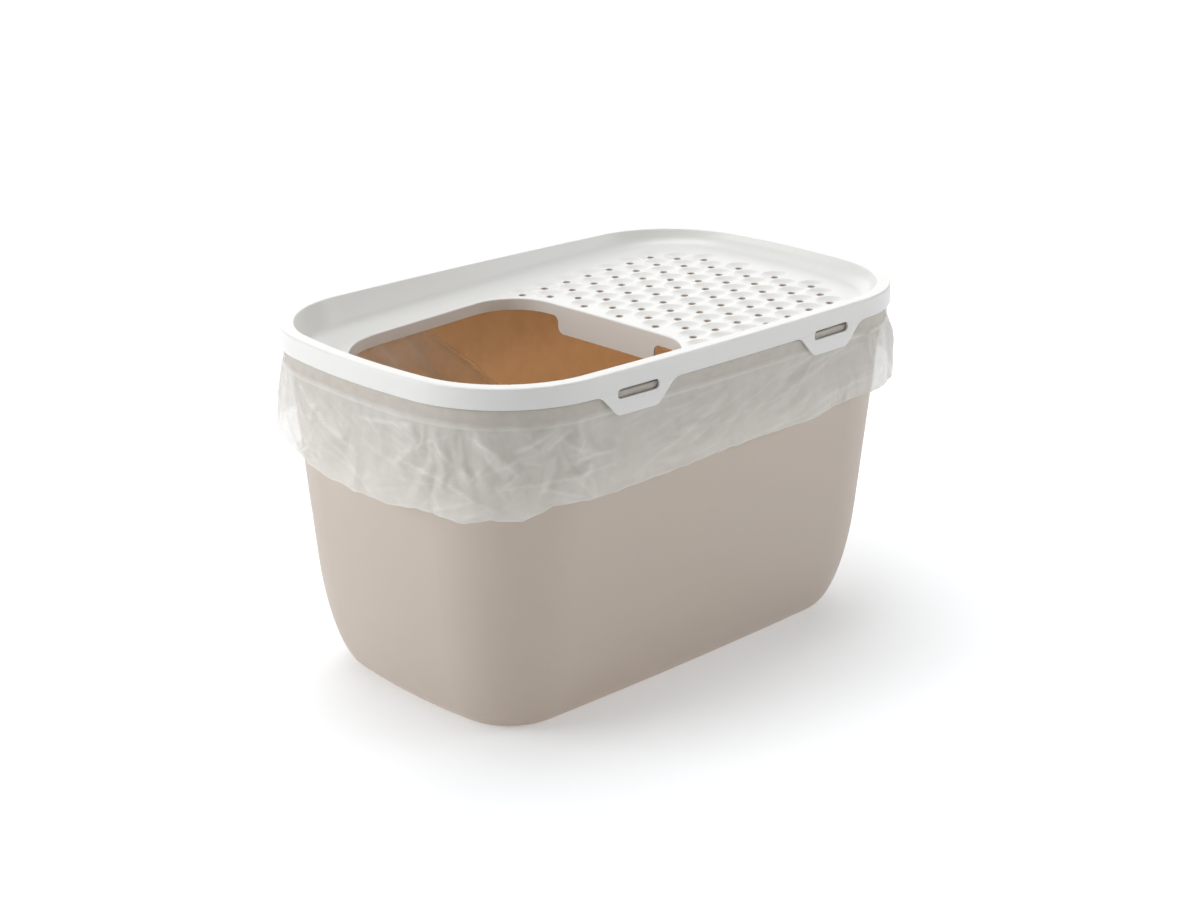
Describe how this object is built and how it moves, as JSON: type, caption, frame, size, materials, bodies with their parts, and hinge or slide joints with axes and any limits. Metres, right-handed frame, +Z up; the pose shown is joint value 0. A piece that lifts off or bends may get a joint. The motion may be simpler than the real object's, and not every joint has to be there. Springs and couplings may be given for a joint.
{
  "type": "cat litter box",
  "caption": "Top-entry cat litter box: a deep tub with a film liner bag folded over its flange and a lift-off lid with an entry hole, a perforated step and latch tabs.",
  "frame": {"origin": "middle of the bounding box on the surface the tub stands on", "axes": "+Z up, +X along the length towards the perforated step, the entry hole at -X"},
  "size_m": [0.5988, 0.3848, 0.34],
  "materials": {
    "tub_plastic": "fine satin moulded polypropylene, warm beige, slightly translucent",
    "lid_plastic": "smooth satin moulded polypropylene, white",
    "liner_film": "thin milky translucent polyethylene film, crinkled"
  },
  "bodies": {
    "base": {"tub": "tub_plastic", "liner_bag": "liner_film"},
    "lid": {"lid": "lid_plastic"},
    "snap_tab_front_left": {"snap_tab_front_left": "lid_plastic"},
    "snap_tab_front_right": {"snap_tab_front_right": "lid_plastic"},
    "snap_tab_back_left": {"snap_tab_back_left": "lid_plastic"},
    "snap_tab_back_right": {"snap_tab_back_right": "lid_plastic"}
  },
  "joints": [
    {"name": "lid_lift", "type": "slide", "parent": "base", "child": "lid", "axis": [0, 0, 1], "range_m": [0, 0.15]},
    {"name": "snap_tab_front_left_flex", "type": "hinge", "parent": "lid", "child": "snap_tab_front_left", "pos_m": [-0.1265, -0.1865, 0.3214], "axis": [-0.9997, 0.0237, 0], "range_deg": [0, 8], "stiffness_Nm_per_rad": 2},
    {"name": "snap_tab_front_right_flex", "type": "hinge", "parent": "lid", "child": "snap_tab_front_right", "pos_m": [0.1265, -0.1865, 0.3214], "axis": [-0.9997, -0.0237, 0], "range_deg": [0, 8], "stiffness_Nm_per_rad": 2},
    {"name": "snap_tab_back_left_flex", "type": "hinge", "parent": "lid", "child": "snap_tab_back_left", "pos_m": [-0.1265, 0.1865, 0.3214], "axis": [0.9997, 0.0237, 0], "range_deg": [0, 8], "stiffness_Nm_per_rad": 2},
    {"name": "snap_tab_back_right_flex", "type": "hinge", "parent": "lid", "child": "snap_tab_back_right", "pos_m": [0.1265, 0.1865, 0.3214], "axis": [0.9997, -0.0237, 0], "range_deg": [0, 8], "stiffness_Nm_per_rad": 2}
  ]
}
